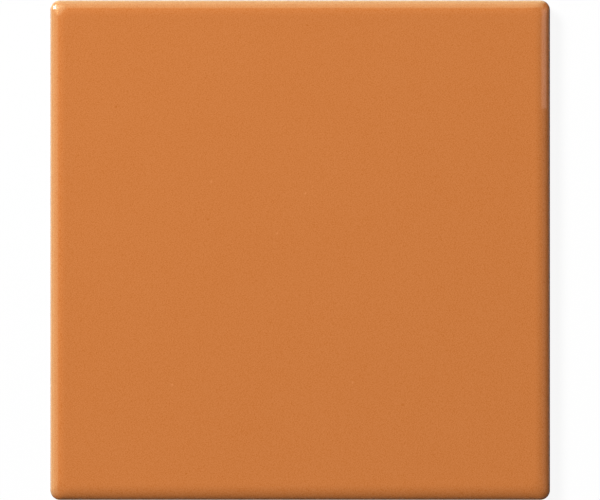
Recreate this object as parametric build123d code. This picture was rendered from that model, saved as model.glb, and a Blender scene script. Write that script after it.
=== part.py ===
"""Square glazed floor tile, dust-pressed and fired as one piece.

The origin is at the centre of the back, on the plane the tile is bedded on. +Z points up through
the glazed face, and X and Y run along the sides. Lengths are in millimetres, angles in degrees.
"""

import os
from math import floor, radians, sqrt, tan

from build123d import *

# Outline and thickness
SIDE = 148.0  # widest outline, one 150 mm module less its joint
THICKNESS = 8.0  # back plane to glazed face
CORNER_RADIUS = 2.9  # in plan, the same at every height

# Cushion edge: a quarter ellipse from the widest outline up to the flat face
CUSHION_WIDTH = 4.6  # run in plan
CUSHION_DROP = 2.5  # fall below the face

# Side walls and back arris
SIDE_DRAFT = 1.5  # the walls lean in towards the back, for release from the die
BACK_BEVEL = 0.8  # run and rise of the bevel round the back

# Keys: square recesses in the back that the adhesive grips, with ribs left between them
KEY_PITCH = 22.0
RIB_WIDTH = 3.6  # at the back plane
KEY_DEPTH = 0.9
KEY_DRAFT = 30.0  # lean of a key's walls
KEY_CORNER_RADIUS = 2.0  # at the back plane
BACK_RIM = 7.0  # least plain border outside the keys

# Heights and sizes that follow from those
WIDEST_HEIGHT = THICKNESS - CUSHION_DROP
BEVEL_INSET = (WIDEST_HEIGHT - BACK_BEVEL) * tan(radians(SIDE_DRAFT))
BACK_INSET = BEVEL_INSET + BACK_BEVEL
BACK_SIDE = SIDE - 2 * BACK_INSET
KEY_SIDE = KEY_PITCH - RIB_WIDTH
KEYS_PER_SIDE = floor((BACK_SIDE - 2 * BACK_RIM + RIB_WIDTH) / KEY_PITCH)

# Weight of the middle control point that makes a rational quadratic a true quarter ellipse
QUARTER = sqrt(0.5)

# Edge profile from back to face, as bands of control points (inset, height, weight)
BEVEL = [(BACK_INSET, 0, 1), (BEVEL_INSET, BACK_BEVEL, 1)]
WALL = [(BEVEL_INSET, BACK_BEVEL, 1), (0, WIDEST_HEIGHT, 1)]
CUSHION = [(0, WIDEST_HEIGHT, 1), (0, THICKNESS, QUARTER), (CUSHION_WIDTH, THICKNESS, 1)]


def outline(inset, height):
    """Level face in the tile's rounded square, drawn in from the widest outline on every side."""
    side = SIDE - 2 * inset
    return Pos(0, 0, height) * RectangleRounded(side, side, CORNER_RADIUS)


def side_run(inset):
    """Plan control points (x, y, weight) of the straight run of the +X side."""
    reach = SIDE / 2 - inset
    straight = reach - CORNER_RADIUS
    return [(reach, -straight, 1), (reach, straight, 1)]


def corner_run(inset):
    """Plan control points (x, y, weight) of the round of the corner between +X and +Y."""
    reach = SIDE / 2 - inset
    straight = reach - CORNER_RADIUS
    return [(reach, straight, 1), (reach, reach, QUARTER), (straight, reach, 1)]


def edge_face(band, run):
    """One band of the edge profile carried along one run of the outline, as an exact patch."""
    points = []
    weights = []
    for inset, height, band_weight in band:
        points.append([(x, y, height) for x, y, _ in run(inset)])
        weights.append([band_weight * run_weight for _, _, run_weight in run(inset)])
    return Face.make_bezier_surface(points, weights)


def blank():
    """The tile before its keys: the edge profile round all four sides, closed by back and face."""
    quarter_turn = [edge_face(band, run) for band in (BEVEL, WALL, CUSHION) for run in (side_run, corner_run)]
    edges = [Rot(0, 0, turn) * face for turn in (0, 90, 180, 270) for face in quarter_turn]
    back = outline(BACK_INSET, 0)
    face = outline(CUSHION_WIDTH, THICKNESS)
    return Solid(Shell([*edges, *back.faces(), *face.faces()]))


def keys():
    """All the recesses of the back, each narrowing upwards from the back plane."""
    mouth = RectangleRounded(KEY_SIDE, KEY_SIDE, KEY_CORNER_RADIUS)
    key = extrude(mouth, amount=KEY_DEPTH, taper=KEY_DRAFT)
    return [place * key for place in GridLocations(KEY_PITCH, KEY_PITCH, KEYS_PER_SIDE, KEYS_PER_SIDE)]


tile = blank() - keys()

os.makedirs("parts", exist_ok=True)
export_step(tile, "parts/tile.step")
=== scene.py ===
"""Square orange glazed floor tile, lying face up on a white studio floor, seen from straight above.

Lengths are in millimetres, turned to metres by MM where something is made, unless their comment says
metres. Angles are in degrees, and colours are linear.
"""

from math import cos, pi, radians, sin, tan

import bmesh
import bpy
import numpy as np
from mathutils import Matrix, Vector, noise


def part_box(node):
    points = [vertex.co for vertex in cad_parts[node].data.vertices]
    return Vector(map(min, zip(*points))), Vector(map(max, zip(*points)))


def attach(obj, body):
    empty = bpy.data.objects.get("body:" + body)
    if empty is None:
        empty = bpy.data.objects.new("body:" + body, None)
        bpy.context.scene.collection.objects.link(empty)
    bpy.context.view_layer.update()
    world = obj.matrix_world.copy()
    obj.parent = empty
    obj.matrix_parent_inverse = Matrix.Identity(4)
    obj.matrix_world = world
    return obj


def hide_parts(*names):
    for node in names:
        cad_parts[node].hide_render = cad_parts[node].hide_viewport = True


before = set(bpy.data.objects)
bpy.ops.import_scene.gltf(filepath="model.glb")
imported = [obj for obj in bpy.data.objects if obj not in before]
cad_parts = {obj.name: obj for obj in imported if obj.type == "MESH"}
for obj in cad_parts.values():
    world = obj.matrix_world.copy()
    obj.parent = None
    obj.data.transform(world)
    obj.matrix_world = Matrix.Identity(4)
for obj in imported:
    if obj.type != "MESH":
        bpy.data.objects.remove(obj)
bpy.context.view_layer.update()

MM = 0.001

# Sizes of the tile: the outline from model.glb, the rest as the solid has them
tile_low, tile_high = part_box("tile")
SIDE = (tile_high[0] - tile_low[0]) / MM
THICKNESS = (tile_high[2] - tile_low[2]) / MM
CORNER_RADIUS = 2.9
CUSHION_WIDTH = 4.6
CUSHION_DROP = 2.5
WIDEST_HEIGHT = THICKNESS - CUSHION_DROP
SIDE_DRAFT = 1.5
BACK_BEVEL = 0.8
KEYS_PER_SIDE = 6
KEY_PITCH = 22.0
RIB_WIDTH = 3.6
KEY_DEPTH = 0.9
KEY_DRAFT = 30.0
KEY_CORNER_RADIUS = 2.0

# Sides of the tile, in quarter turns from +X
RIGHT, TOP, LEFT, FRONT = range(4)

# Glazed face, which dips a little between its high spots
WAVE_DEPTH = 0.03
WAVE_LENGTH = 26.0
WAVE_SLICE = 7.0  # level of the noise that the dips are cut from

# Lower end of the glaze on the side walls, a lip that wanders up and down
LIP_HEIGHT = 4.15  # above the back
LIP_WANDER = 0.45
SWEEP_RATE = 0.07  # lumps of noise to a millimetre in its long sweeps
RIPPLE_RATE = 0.35  # and in its short ripples
RIPPLE_SHARE = 0.4  # size of the ripples against the sweeps
RIPPLE_SLICE = 40.0  # level of the noise that the ripples are cut from
LIP_ROUND = 0.2  # size of the rounded end
GLAZE_COAT = 0.12  # how far the bare wall stands back from the glaze

# Section of the lip, from the top: height above its line in LIP_ROUNDs, and share of the coat that has gone
GLAZED_LIP = ((3.0, 0.0), (1.0, 0.0), (0.35, 0.25), (0.05, 0.75))
BARE_LIP = ((-0.1, 1.0), (-1.5, 1.0))

# Small rounded edges, and the flats kept beside them
ARRIS_ROUND = 0.25  # worn edges of the bevel
BORDER_FLAT = 3 * ARRIS_ROUND
KEY_ROUND = 0.35  # edges of the keys, at the mouth and at the floor
RIB_FLAT = 2 * KEY_ROUND
KEY_FLOOR_FLAT = 3 * KEY_ROUND

# Mesh density
CELL_STEPS = 12  # edges along one side of a key's cell
SIDE_STEPS = CELL_STEPS * KEYS_PER_SIDE  # edges along one side of the tile
CORNER_STEPS = 6  # edges in half of a corner of the tile
KEY_CORNER_STEPS = 3  # edges in half of a corner of a key
CUSHION_STEPS = 18
ROUND_STEPS = 4  # edges across a small rounded edge
WELD_DISTANCE = 0.001

# Glaze: its colour, how far that moves for one step of tone, and the tone of its grain and clouds
GLAZE_COLOUR = (0.62, 0.202, 0.051)
GLAZE_STRAY = (0.45, 0.33, 0.185)
GRAIN_SIZE = 0.28
GRAIN_TONE = 0.15
CLOUD_SIZE = 22.0
CLOUD_TONE = 0.005
EDGE_PAINTED_SHADE = 0.12  # painted shade: how much darker the colour is made down the cushion edge
GLAZE_INDEX = 1.5  # of refraction
GLAZE_ROUGHNESS = (0.20, 0.26)  # between the grains and on them
PEEL_SIZE = 1.6  # soft unevenness of the surface
PEEL_SHARE = 3.0  # its height against that of the grain
GLAZE_RELIEF = 0.002  # height of the grain
GLAZE_BUMP = 0.5  # how strongly the relief shows

# Pin specks in the glaze: place from the centre, and how much paler or darker
PALE_SPECK, DARK_SPECK = 0.18, -0.16
SPECK_SIZE = 0.45
SPECK_CORE = 0.2  # share of a speck that has its full tone
SPECKS = (
    (-6.8, 4.9, PALE_SPECK),
    (1.5, 16.8, PALE_SPECK),
    (-26.3, 20.3, PALE_SPECK),
    (-37.9, -39.8, PALE_SPECK),
    (15.4, -39.2, PALE_SPECK),
    (2.1, 66.5, DARK_SPECK),
    (-54.5, 42.3, DARK_SPECK),
    (-27.2, 9.1, DARK_SPECK),
    (-33.7, -66.1, DARK_SPECK),
    (30.3, -45.7, DARK_SPECK),
)

# Clay: two buffs that its sand and clouds mix, and iron specks
CLAY_COLOUR = (0.58, 0.42, 0.27, 1)
CLAY_LIGHT = (0.68, 0.53, 0.37, 1)
SAND_SIZE = 0.5
SAND_TONE = 0.4  # how far a grain of sand moves the mix either way
CLAY_CLOUD_SIZE = 14.0
CLAY_CLOUD_TONE = (0.3, 0.7)
CLAY_ROUGHNESS = (0.8, 0.95)
CLAY_RELIEF = 0.08  # height of the sand
CLAY_BUMP = 0.6  # how strongly the relief shows
IRON_COLOUR = (0.22, 0.12, 0.07, 1)
IRON_TONE = 0.7
IRON_SPACING = 2.6
IRON_CORE, IRON_RADIUS = 0.08, 0.14  # as shares of the spacing

# Floor: how white its own colour is, and the share of plain white that the eye sees on it
FLOOR_HALF = 6.0  # metres
FLOOR_DROP = 0.05  # below the back of the tile
FLOOR_COLOUR = (0.96, 0.96, 0.96, 1)
FLOOR_WHITE = 0.92

# Room and key light: the share of white that each gives on the face, and where the key stands
ROOM_LEVEL = 0.05
ROOM_COLOUR = (1, 1, 1, 1)
KEY_LEVEL = 1.0
KEY_AZIMUTH = 137
KEY_ZENITH = 43.5
KEY_DISTANCE = 3.2  # metres
KEY_WIDTH = 1.0  # metres

# Cards: small pale lights close to the tile, which show in the gloss of its edges and add no other light.
# Each faces a point (x, y) of the edge, and a spread under 180 narrows the angle in which it shows.
AIM_INSET = 1.5  # of the cards' points from the widest outline
AIM_DEPTH = 0.5  # of those points below the face
RIM = SIDE / 2 - AIM_INSET
CORNER = RIM - 1.0  # further in on both sides, on the round of the corner
INNER_CORNER = RIM - 2.0  # and further still, towards the face
LEFT_OVERRUN = 2.0  # how far the left cards run on past the lower corner
GREENISH = (0.62, 1.0, 0.67)  # over the orange glaze it shows as cream
WHITE = (1.0, 1.0, 1.0)
COOL = (0.9, 0.95, 1.0)
LEFT_RUN = dict(x=-RIM, y=-LEFT_OVERRUN / 2, azimuth=180, width=SIDE + LEFT_OVERRUN)
TOP_RUN = dict(x=0.0, y=RIM, azimuth=90, width=SIDE, strength=1.27)
LOW_CARD = dict(zenith=103, distance=3.6, height=4.8, brightness=1.23, colour=GREENISH, spread=110)
HIGH_CARD = dict(zenith=56, distance=3.0, height=3.8, brightness=0.88, colour=GREENISH, spread=110)
CORNER_LOW = dict(
    x=-CORNER, y=CORNER, azimuth=135, zenith=98, distance=3.6,
    width=6.0, height=6.0, brightness=1.5, colour=GREENISH, spread=110,
)
CORNER_HIGH = dict(
    x=-INNER_CORNER, y=INNER_CORNER, azimuth=135, zenith=48, distance=3.0,
    width=5.0, height=3.0, brightness=0.8, colour=GREENISH, spread=70,
)
CORNER_SPOT = dict(
    x=-CORNER, y=RIM, azimuth=155, zenith=68, distance=5.0,
    width=2.8, height=3.2, brightness=4.5, colour=WHITE, spread=42, shape="ELLIPSE",
)
UPPER_RIGHT = dict(
    x=RIM, y=58.0, azimuth=0, zenith=46, distance=4.5,
    width=32.0, height=4.6, brightness=1.35, colour=COOL,
)
RIGHT_RUN = dict(
    x=RIM, y=0.0, azimuth=0, zenith=42, distance=4.5,
    width=SIDE, height=3.0, brightness=0.3, colour=COOL,
)

# Flags: black strips along the tile's sides, which only its gloss or only its shading sees
FLAG_COLOUR = (0.01, 0.01, 0.01, 1)
FLAG_HEIGHT = 0.2  # above the back of the tile
FLAG_NEAR = 1.0  # gap between the tile and a flag
RIGHT_REACH = 26.0  # from the tile to a flag's far side
FRONT_REACH = 90.0
BOUNCE_REACH = 60.0

# Camera, and where the tile's widest outline lies in the image, in pixels
LENS = 250  # focal length
SENSOR_WIDTH = 36
CLIP_NEAR, CLIP_FAR = 0.1, 100.0  # metres
IMAGE_WIDTH = 600
TILE_PIXELS = 499.6
TILE_CENTRE_RIGHT = 0.15
TILE_CENTRE_UP = -0.1


def turned(points, quarter):
    """Points turned by a number of quarter turns about the vertical axis."""
    for _ in range(quarter):
        points = np.column_stack([-points[:, 1], points[:, 0], points[:, 2]])
    return points


def ring(half, radius, height, steps, corner_steps):
    """Closed loop of a rounded square, from the middle of one corner round to the same place."""
    straight = half - radius
    first = [radians(-45 + 45 * i / corner_steps) for i in range(corner_steps)]
    last = [radians(45 * i / corner_steps) for i in range(corner_steps)]
    runs = steps - 2 * corner_steps
    side = [(straight + radius * cos(angle), -straight + radius * sin(angle), height) for angle in first]
    side += [(half, straight * (2 * i / runs - 1), height) for i in range(runs)]
    side += [(straight + radius * cos(angle), straight + radius * sin(angle), height) for angle in last]
    side = np.array(side)
    return np.vstack([turned(side, quarter) for quarter in range(4)])


def square_ring(half, height, steps):
    """Closed loop of a square, with the same order of points as ring()."""
    side = np.array([(half, half * (2 * i / steps - 1), height) for i in range(steps)])
    return np.vstack([turned(side, quarter) for quarter in range(4)])


def patch(loop, steps):
    """Grid of points that fills a four-sided loop of 4 x steps points."""
    right = loop[0 : steps + 1]
    top = loop[steps : 2 * steps + 1][::-1]
    left = loop[2 * steps : 3 * steps + 1][::-1]
    bottom = np.vstack([loop[3 * steps :], loop[:1]])
    u = np.linspace(0, 1, steps + 1)[:, None, None]
    v = np.linspace(0, 1, steps + 1)[None, :, None]
    across = (1 - v) * bottom[:, None] + v * top[:, None]
    along = (1 - u) * left[None] + u * right[None]
    corners = (1 - u) * ((1 - v) * left[0] + v * left[-1]) + u * ((1 - v) * right[0] + v * right[-1])
    return across + along - corners


def rounded(points, sizes):
    """Open polyline with each inner corner rounded, by the run in sizes taken from both its sides."""
    points = [np.array(point, float) for point in points]
    line = [points[0]]
    for before, corner, after, size in zip(points, points[1:], points[2:], sizes):
        start = corner + (before - corner) * size / np.linalg.norm(before - corner)
        end = corner + (after - corner) * size / np.linalg.norm(after - corner)
        for i in range(ROUND_STEPS + 1):
            t = i / ROUND_STEPS
            line.append((1 - t) ** 2 * start + 2 * t * (1 - t) * corner + t**2 * end)
    return [*line, points[-1]]


class Surface:
    """Collects quads and their material, then becomes one welded mesh."""

    def __init__(self):
        self.points = []
        self.quads = []
        self.materials = []

    def add_points(self, points):
        first = len(self.points)
        self.points.extend(map(tuple, points))
        return first

    def add_quad(self, corners, material):
        self.quads.append(corners)
        self.materials.append(material)

    def add_bands(self, loops, materials):
        """Joins each loop of points to the next, with one material for each band."""
        count = len(loops[0])
        starts = [self.add_points(loop) for loop in loops]
        for lower, upper, material in zip(starts, starts[1:], materials):
            for i in range(count):
                j = (i + 1) % count
                self.add_quad((lower + i, lower + j, upper + j, upper + i), material)

    def add_patch(self, grid, material):
        rows, columns = grid.shape[:2]
        start = self.add_points(grid.reshape(-1, 3))
        for i in range(rows - 1):
            for j in range(columns - 1):
                corner = start + i * columns + j
                self.add_quad((corner, corner + columns, corner + columns + 1, corner + 1), material)

    def to_object(self, name, materials):
        mesh = bpy.data.meshes.new(name)
        mesh.from_pydata([Vector(point) * MM for point in self.points], [], self.quads)
        for material in materials:
            mesh.materials.append(material)
        mesh.polygons.foreach_set("material_index", self.materials)
        form = bmesh.new()
        form.from_mesh(mesh)
        bmesh.ops.remove_doubles(form, verts=form.verts, dist=WELD_DISTANCE * MM)
        bmesh.ops.recalc_face_normals(form, faces=form.faces)
        form.to_mesh(mesh)
        form.free()
        mesh.shade_smooth()
        piece = bpy.data.objects.new(name, mesh)
        bpy.context.scene.collection.objects.link(piece)
        return piece


# Places of the two materials on the tile's mesh
GLAZE, CLAY = 0, 1


def wall_inset(height):
    """How far the drafted wall stands in from the widest outline."""
    return (WIDEST_HEIGHT - height) * tan(radians(SIDE_DRAFT))


def edge_loop(inset, height):
    """The tile's outline, drawn in from the widest one on every side."""
    return ring(SIDE / 2 - inset, CORNER_RADIUS, height, SIDE_STEPS, CORNER_STEPS)


def cushion_loops():
    """Quarter-ellipse edge, from the flat face down to the widest outline."""
    loops = []
    for step in range(CUSHION_STEPS + 1):
        angle = pi / 2 * (1 - step / CUSHION_STEPS)
        inset = CUSHION_WIDTH * (1 - cos(angle))
        loops.append(edge_loop(inset, THICKNESS - CUSHION_DROP * (1 - sin(angle))))
    return loops


def lip_line(loop):
    """Height of the glaze's lower end above each point of the outline."""
    heights = []
    for x, y, _ in loop:
        sweep = noise.noise(Vector((x, y, 0)) * SWEEP_RATE)
        ripple = noise.noise(Vector((x, y, RIPPLE_SLICE)) * RIPPLE_RATE)
        heights.append(LIP_HEIGHT + LIP_WANDER * (sweep + RIPPLE_SHARE * ripple))
    return np.array(heights)


def lip_loops():
    """Glaze running out over the wall, and the top of the bare wall behind it."""
    line = lip_line(edge_loop(0, 0))
    loops = []
    for rise, gone in (*GLAZED_LIP, *BARE_LIP):
        loop = edge_loop(wall_inset(LIP_HEIGHT) + GLAZE_COAT * gone, 0)
        loop[:, 2] = line + LIP_ROUND * rise
        loops.append(loop)
    return loops


def foot_loops():
    """Bare wall, bevel and the start of the plain border of the back."""
    middle = LIP_HEIGHT / 2
    back_inset = wall_inset(BACK_BEVEL) + BACK_BEVEL
    section = rounded(
        [
            (wall_inset(middle) + GLAZE_COAT, middle),
            (wall_inset(BACK_BEVEL) + GLAZE_COAT, BACK_BEVEL),
            (back_inset, 0),
            (back_inset + BORDER_FLAT, 0),
        ],
        [ARRIS_ROUND, ARRIS_ROUND],
    )
    return [edge_loop(inset, height) for inset, height in section]


def add_back(surface, border):
    """Keys and ribs of the back, and the border that joins them to the outer edge."""
    grid_half = KEYS_PER_SIDE * KEY_PITCH / 2
    outer = square_ring(grid_half, 0, SIDE_STEPS)
    surface.add_bands([border, (border + outer) / 2, outer], [CLAY, CLAY])

    key_half = (KEY_PITCH - RIB_WIDTH) / 2
    run = KEY_DEPTH * tan(radians(KEY_DRAFT))
    section = rounded(
        [(-RIB_FLAT, 0), (0, 0), (run, KEY_DEPTH), (run + KEY_FLOOR_FLAT, KEY_DEPTH)],
        [KEY_ROUND, KEY_ROUND],
    )
    loops = [square_ring(KEY_PITCH / 2, 0, CELL_STEPS)]
    for inset, height in section:
        radius = KEY_CORNER_RADIUS - inset
        loops.append(ring(key_half - inset, radius, height, CELL_STEPS, KEY_CORNER_STEPS))
    floor_grid = patch(loops[-1], CELL_STEPS)
    for row in range(KEYS_PER_SIDE):
        for column in range(KEYS_PER_SIDE):
            x = (column + 0.5) * KEY_PITCH - grid_half
            y = (row + 0.5) * KEY_PITCH - grid_half
            place = np.array([x, y, 0])
            surface.add_bands([loop + place for loop in loops], [CLAY] * (len(loops) - 1))
            surface.add_patch(floor_grid + place, CLAY)


def sink_waves(surface):
    """Lets the glazed face dip a little between its high spots, less and less down the edge."""
    for index, (x, y, z) in enumerate(surface.points):
        share = max(0.0, (z - WIDEST_HEIGHT) / CUSHION_DROP)
        wave = 0.5 + 0.5 * noise.noise(Vector((x, y, WAVE_SLICE)) / WAVE_LENGTH)
        surface.points[index] = (x, y, z - WAVE_DEPTH * share * wave)


def make_tile(materials):
    surface = Surface()
    cushion = cushion_loops()
    surface.add_patch(patch(cushion[0], SIDE_STEPS), GLAZE)
    foot = foot_loops()
    loops = [*cushion, *lip_loops(), *foot]
    glazed = len(cushion) + len(GLAZED_LIP)
    surface.add_bands(loops, [GLAZE] * (glazed - 1) + [CLAY] * (len(loops) - glazed))
    add_back(surface, foot[-1])
    sink_waves(surface)
    piece = surface.to_object("tile_glazed", materials)
    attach(piece, "root")
    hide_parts("tile")


# Range that most values of a noise texture lie in, and the sockets of a Mix node that mixes colours
NOISE_LOW, NOISE_HIGH = 0.3, 0.7
MIX_AMOUNT, MIX_FIRST, MIX_SECOND, MIX_RESULT = 0, 6, 7, 2


class Nodes:
    """Short way to add and join the nodes of one material."""

    def __init__(self, name):
        self.material = bpy.data.materials.new(name)
        self.material.use_nodes = True
        self.tree = self.material.node_tree
        self.shader = self.tree.nodes["Principled BSDF"]
        self.place = self.add("ShaderNodeTexCoord").outputs["Object"]

    def add(self, kind, inputs=None, **settings):
        node = self.tree.nodes.new(kind)
        for key, value in settings.items():
            setattr(node, key, value)
        for key, value in (inputs or {}).items():
            self.feed(node.inputs[key], value)
        return node

    def feed(self, socket, value):
        if isinstance(value, bpy.types.NodeSocket):
            self.tree.links.new(value, socket)
        else:
            socket.default_value = value

    def noise(self, size, detail=2.0, roughness=0.5):
        """Cloudy values about 0.5, with lumps of one size."""
        inputs = {"Vector": self.place, "Scale": 1 / (size * MM), "Detail": detail, "Roughness": roughness}
        return self.add("ShaderNodeTexNoise", inputs).outputs["Fac"]

    def cells(self, spacing):
        """Distance from the nearest of many scattered points, as a share of their spacing."""
        inputs = {"Vector": self.place, "Scale": 1 / (spacing * MM)}
        return self.add("ShaderNodeTexVoronoi", inputs).outputs["Distance"]

    def math(self, operation, a, b=0.0, c=0.0):
        return self.add("ShaderNodeMath", {0: a, 1: b, 2: c}, operation=operation).outputs[0]

    def remap(self, value, low, high, new_low, new_high):
        """Value taken from one range to another, and held there."""
        inputs = {"Value": value, "From Min": low, "From Max": high, "To Min": new_low, "To Max": new_high}
        return self.add("ShaderNodeMapRange", inputs).outputs["Result"]

    def remap_noise(self, value, new_low, new_high):
        return self.remap(value, NOISE_LOW, NOISE_HIGH, new_low, new_high)

    def mix(self, amount, first, second):
        node = self.add("ShaderNodeMix", data_type="RGBA")
        self.feed(node.inputs[MIX_AMOUNT], amount)
        self.feed(node.inputs[MIX_FIRST], first)
        self.feed(node.inputs[MIX_SECOND], second)
        return node.outputs[MIX_RESULT]

    def scale(self, vector, factor):
        return self.add("ShaderNodeVectorMath", {0: vector, "Scale": factor}, operation="SCALE").outputs[0]

    def bump(self, height, strength, distance):
        """Fine relief in the shading, its height as a distance."""
        inputs = {"Height": height, "Strength": strength, "Distance": distance * MM}
        self.feed(self.shader.inputs["Normal"], self.add("ShaderNodeBump", inputs).outputs["Normal"])


def add_specks(nodes, tone):
    """Tone with the pin specks added to it."""
    for x, y, shade in SPECKS:
        spot = (x * MM, y * MM, THICKNESS * MM)
        away = nodes.add("ShaderNodeVectorMath", {0: nodes.place, 1: spot}, operation="DISTANCE")
        core = SPECK_CORE * SPECK_SIZE * MM
        speck = nodes.remap(away.outputs["Value"], core, SPECK_SIZE * MM, shade, 0.0)
        tone = nodes.math("ADD", tone, speck)
    return tone


def glaze_material():
    """Satin glaze with fine grain, faint cloudiness, a few pin specks and painted shade down its cushion
    edge.
    """
    nodes = Nodes("satin_glaze")
    grain = nodes.remap(nodes.cells(GRAIN_SIZE), 0.0, 1.0, 1.0, 0.0)
    cloud = nodes.remap_noise(nodes.noise(CLOUD_SIZE, detail=3), -CLOUD_TONE, CLOUD_TONE)
    tone = nodes.math("ADD", cloud, nodes.remap(grain, 0.0, 1.0, -GRAIN_TONE, GRAIN_TONE))
    stray = nodes.scale(GLAZE_STRAY, add_specks(nodes, tone))
    colour = nodes.add("ShaderNodeVectorMath", {0: GLAZE_COLOUR, 1: stray}, operation="ADD").outputs[0]

    # Painted shade: the colour darkens from the face down to half the cushion's drop
    height = nodes.add("ShaderNodeSeparateXYZ", {0: nodes.place}).outputs["Z"]
    deepest_shade = (THICKNESS - CUSHION_DROP / 2) * MM
    full = (THICKNESS - 2 * WAVE_DEPTH) * MM
    painted_shade = nodes.remap(height, deepest_shade, full, 1 - EDGE_PAINTED_SHADE, 1.0)
    nodes.feed(nodes.shader.inputs["Base Color"], nodes.scale(colour, painted_shade))

    nodes.feed(nodes.shader.inputs["Roughness"], nodes.remap(grain, 0.0, 1.0, *GLAZE_ROUGHNESS))
    relief = nodes.math("MULTIPLY_ADD", nodes.noise(PEEL_SIZE), PEEL_SHARE, grain)
    nodes.bump(relief, GLAZE_BUMP, GLAZE_RELIEF)
    nodes.shader.inputs["IOR"].default_value = GLAZE_INDEX
    return nodes.material


def clay_material():
    """Bare fired clay, pale buff with sandy grain and small iron specks."""
    nodes = Nodes("fired_clay")
    sand = nodes.noise(SAND_SIZE, detail=4, roughness=0.7)
    cloud = nodes.remap_noise(nodes.noise(CLAY_CLOUD_SIZE, detail=3), *CLAY_CLOUD_TONE)
    tone = nodes.math("ADD", nodes.remap_noise(sand, -SAND_TONE, SAND_TONE), cloud)
    colour = nodes.mix(tone, CLAY_COLOUR, CLAY_LIGHT)
    speck = nodes.remap(nodes.cells(IRON_SPACING), IRON_CORE, IRON_RADIUS, IRON_TONE, 0.0)
    nodes.feed(nodes.shader.inputs["Base Color"], nodes.mix(speck, colour, IRON_COLOUR))
    nodes.feed(nodes.shader.inputs["Roughness"], nodes.remap_noise(sand, *CLAY_ROUGHNESS))
    nodes.bump(sand, CLAY_BUMP, CLAY_RELIEF)
    return nodes.material


def make_floor():
    """Wide white floor that shows as white and keeps a pale shadow."""
    signs = [(-1, -1), (1, -1), (1, 1), (-1, 1)]
    corners = [(x * FLOOR_HALF, y * FLOOR_HALF, -FLOOR_DROP * MM) for x, y in signs]
    mesh = bpy.data.meshes.new("floor")
    mesh.from_pydata(corners, [], [(0, 1, 2, 3)])
    nodes = Nodes("white_floor")
    nodes.tree.nodes.remove(nodes.shader)
    path = nodes.add("ShaderNodeLightPath").outputs
    seen = nodes.math("MAXIMUM", path["Is Camera Ray"], path["Is Glossy Ray"])
    seen = nodes.math("MAXIMUM", seen, path["Is Transmission Ray"])
    mix = nodes.add("ShaderNodeMixShader")
    nodes.feed(mix.inputs[0], nodes.math("MULTIPLY", seen, FLOOR_WHITE))
    nodes.feed(mix.inputs[1], nodes.add("ShaderNodeBsdfDiffuse", {"Color": FLOOR_COLOUR}).outputs[0])
    nodes.feed(mix.inputs[2], nodes.add("ShaderNodeEmission").outputs[0])
    nodes.feed(nodes.tree.nodes["Material Output"].inputs["Surface"], mix.outputs[0])
    mesh.materials.append(nodes.material)
    floor = bpy.data.objects.new("floor", mesh)
    bpy.context.scene.collection.objects.link(floor)


def make_world():
    world = bpy.data.worlds.new("studio")
    bpy.context.scene.world = world
    world.use_nodes = True
    background = world.node_tree.nodes["Background"]
    background.inputs["Color"].default_value = ROOM_COLOUR
    background.inputs["Strength"].default_value = ROOM_LEVEL


def toward(azimuth, zenith):
    """Direction from the tile, in degrees from +X and from straight up."""
    around, down = radians(azimuth), radians(zenith)
    return Vector((cos(around) * sin(down), sin(around) * sin(down), cos(down)))


def add_panel(name, aim, way, distance, width, height):
    """Soft rectangular light at a distance along a way from the point it faces, all in metres."""
    light = bpy.data.lights.new(name, "AREA")
    light.shape = "RECTANGLE"
    light.size = width
    light.size_y = height
    lamp = bpy.data.objects.new(name, light)
    lamp.location = aim + way * distance
    lamp.rotation_mode = "QUATERNION"
    lamp.rotation_quaternion = way.to_track_quat("Z", "Y")
    lamp.visible_camera = False
    bpy.context.scene.collection.objects.link(lamp)
    return lamp


def make_key():
    """Main soft light, which shades the tile and leaves its gloss to the cards."""
    way = toward(KEY_AZIMUTH, KEY_ZENITH)
    lamp = add_panel("key", Vector(), way, KEY_DISTANCE, KEY_WIDTH, KEY_WIDTH)
    # Power at which a white face shows the key's level
    lamp.data.energy = KEY_LEVEL * (pi * KEY_DISTANCE) ** 2 / cos(radians(KEY_ZENITH))
    lamp.visible_glossy = False


def make_card(
    name, x, y, azimuth, zenith, distance, width, height, brightness, colour,
    strength=1.0, spread=180, shape="RECTANGLE",
):
    """Small pale card facing one point of the edge, seen only in the gloss of the glaze."""
    aim = Vector((x, y, THICKNESS - AIM_DEPTH)) * MM
    lamp = add_panel(name, aim, toward(azimuth, zenith), distance * MM, width * MM, height * MM)
    lamp.data.shape = shape
    # Power that gives the card its brightness, before a narrow spread raises it
    lamp.data.energy = strength * brightness * pi * width * height * MM**2
    lamp.data.color = colour
    lamp.data.spread = radians(spread)
    lamp.visible_diffuse = False


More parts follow.
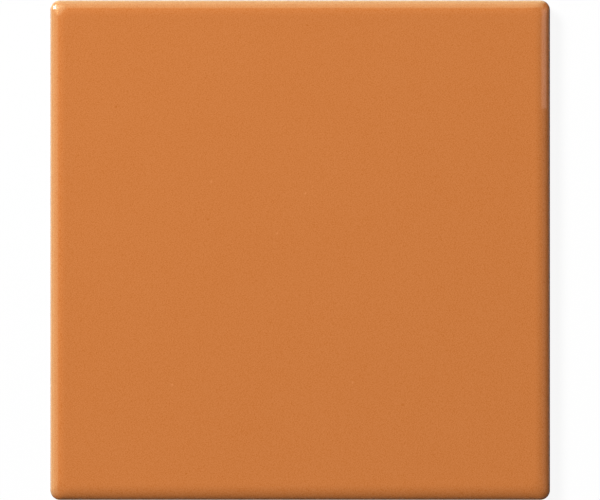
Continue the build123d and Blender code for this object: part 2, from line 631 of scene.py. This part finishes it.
def make_flag(name, side, reach, in_gloss):
    """Black strip on the floor along one side, which darkens that edge's gloss or the floor's bounce."""
    near, far = SIDE / 2 + FLAG_NEAR, SIDE / 2 + reach
    corners = np.array([(near, -far), (far, -far), (far, far), (near, far)])
    corners = np.column_stack([corners, [FLAG_HEIGHT] * len(corners)])
    mesh = bpy.data.meshes.new(name)
    mesh.from_pydata([Vector(corner) * MM for corner in turned(corners, side)], [], [(0, 1, 2, 3)])
    nodes = Nodes(name)
    nodes.shader.inputs["Base Color"].default_value = FLAG_COLOUR
    nodes.shader.inputs["Specular IOR Level"].default_value = 0.0
    mesh.materials.append(nodes.material)
    flag = bpy.data.objects.new(name, mesh)
    flag.visible_camera = False
    flag.visible_diffuse = not in_gloss
    flag.visible_glossy = in_gloss
    flag.visible_shadow = False
    bpy.context.scene.collection.objects.link(flag)


def make_lights():
    make_key()
    for side, run in (("left", LEFT_RUN), ("top", TOP_RUN)):
        make_card(side + "_low", **run, **LOW_CARD)
        make_card(side + "_high", **run, **HIGH_CARD)
    make_card("corner_low", **CORNER_LOW)
    make_card("corner_high", **CORNER_HIGH)
    make_card("corner_spot", **CORNER_SPOT)
    make_card("side_card", **UPPER_RIGHT)
    make_card("right_card", **RIGHT_RUN)
    make_flag("right_flag", RIGHT, RIGHT_REACH, in_gloss=True)
    make_flag("front_flag", FRONT, FRONT_REACH, in_gloss=True)
    make_flag("top_bounce", TOP, BOUNCE_REACH, in_gloss=False)
    make_flag("left_bounce", LEFT, BOUNCE_REACH, in_gloss=False)


def make_camera():
    """Long lens, straight down, framing the tile as the photograph does."""
    data = bpy.data.cameras.new("camera")
    data.lens = LENS
    data.sensor_width = SENSOR_WIDTH
    data.clip_start = CLIP_NEAR
    data.clip_end = CLIP_FAR
    camera = bpy.data.objects.new("camera", data)
    pixel = SIDE * MM / TILE_PIXELS
    distance = IMAGE_WIDTH * pixel * LENS / SENSOR_WIDTH
    height = WIDEST_HEIGHT * MM + distance
    camera.location = (-TILE_CENTRE_RIGHT * pixel, -TILE_CENTRE_UP * pixel, height)
    bpy.context.scene.collection.objects.link(camera)
    bpy.context.scene.camera = camera


bpy.context.scene.view_settings.view_transform = "Standard"
make_tile([glaze_material(), clay_material()])
make_floor()
make_world()
make_lights()
make_camera()
